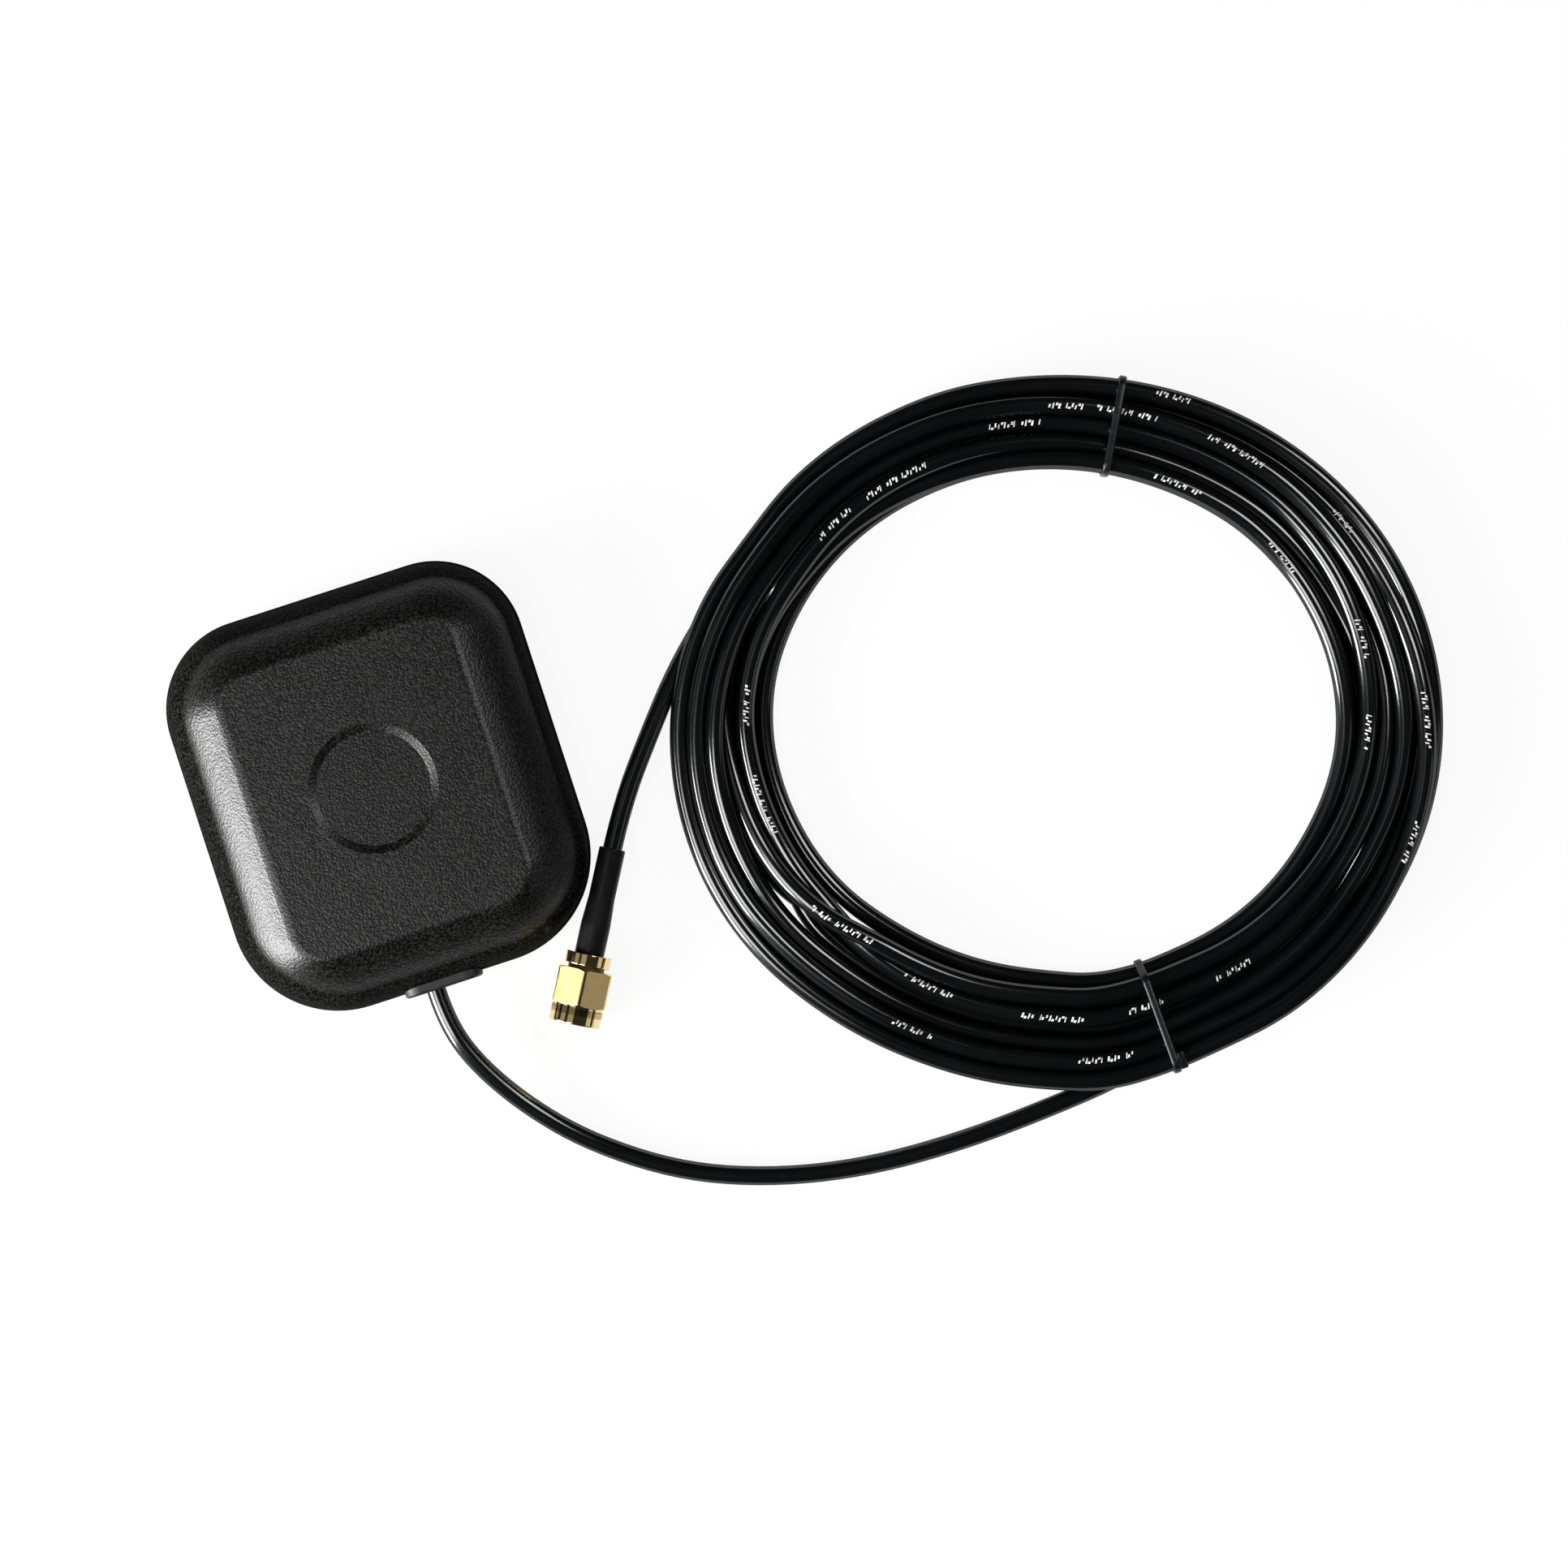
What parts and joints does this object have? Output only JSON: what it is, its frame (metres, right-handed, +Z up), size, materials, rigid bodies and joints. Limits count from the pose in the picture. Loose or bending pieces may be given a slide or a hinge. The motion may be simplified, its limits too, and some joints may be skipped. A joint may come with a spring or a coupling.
{
  "type": "gps antenna",
  "caption": "Flat rounded magnetic puck antenna with a long thin coaxial cable, wound in a tied coil, and a gold screw-on coaxial plug.",
  "frame": {"origin": "middle of the puck's underside, on the surface it rests on", "axes": "+Z up; +Y along the puck's length, away from the cable exit; +X towards the coil"},
  "size_m": [0.1818, 0.1078, 0.016],
  "materials": {
    "housing_plastic": "fine moulded grain",
    "base_plastic": "fine moulded grain",
    "rubber": "smooth",
    "jacket": "smooth satin",
    "tie_plastic": "satin",
    "sleeve_plastic": "satin",
    "gold_plate": "bright gold plating",
    "insulator": "smooth",
    "copper": "bare wire",
    "steel": "zinc plated",
    "tin_sheet": "tinned sheet",
    "magnet_plate": "nickel plating",
    "crimp_metal": "plated",
    "board": "solder mask",
    "ceramic": "fired, unglazed",
    "silver": "fired silver",
    "adhesive": "foam tape"
  },
  "bodies": {
    "antenna": {"upper_housing": "housing_plastic", "base_plate": "base_plastic", "case_screws": "steel", "grommet": "rubber", "circuit_board": "board", "shield_can": "tin_sheet", "patch_tape": "adhesive", "ceramic_patch": "ceramic", "patch_electrode": "silver", "feed_pin": "silver", "cable_stop": "crimp_metal", "lead_jacket": "jacket", "coax_braid": "copper", "coax_insulation": "insulator", "coax_core": "copper", "magnets": "magnet_plate", "case_seal": "rubber", "cord_lead": "jacket", "cord_coil": "jacket", "cord_tail": "jacket", "tie_upper": "tie_plastic", "tie_lower": "tie_plastic", "shrink_sleeve": "sleeve_plastic", "plug_body": "gold_plate", "pin_insulator": "insulator", "centre_pin": "gold_plate", "tail_insulation": "insulator", "tail_core": "copper", "crimp_ferrule": "crimp_metal", "tail_jacket": "jacket", "snap_ring": "crimp_metal", "plug_gasket": "rubber"},
    "nut": {"coupling_nut": "gold_plate"}
  },
  "joints": [
    {"name": "nut_spin", "type": "hinge", "parent": "antenna", "child": "nut", "pos_m": [0.0189, -0.03754, 0.0046], "axis": [-0.5059, -0.8626, 0], "continuous": true}
  ]
}
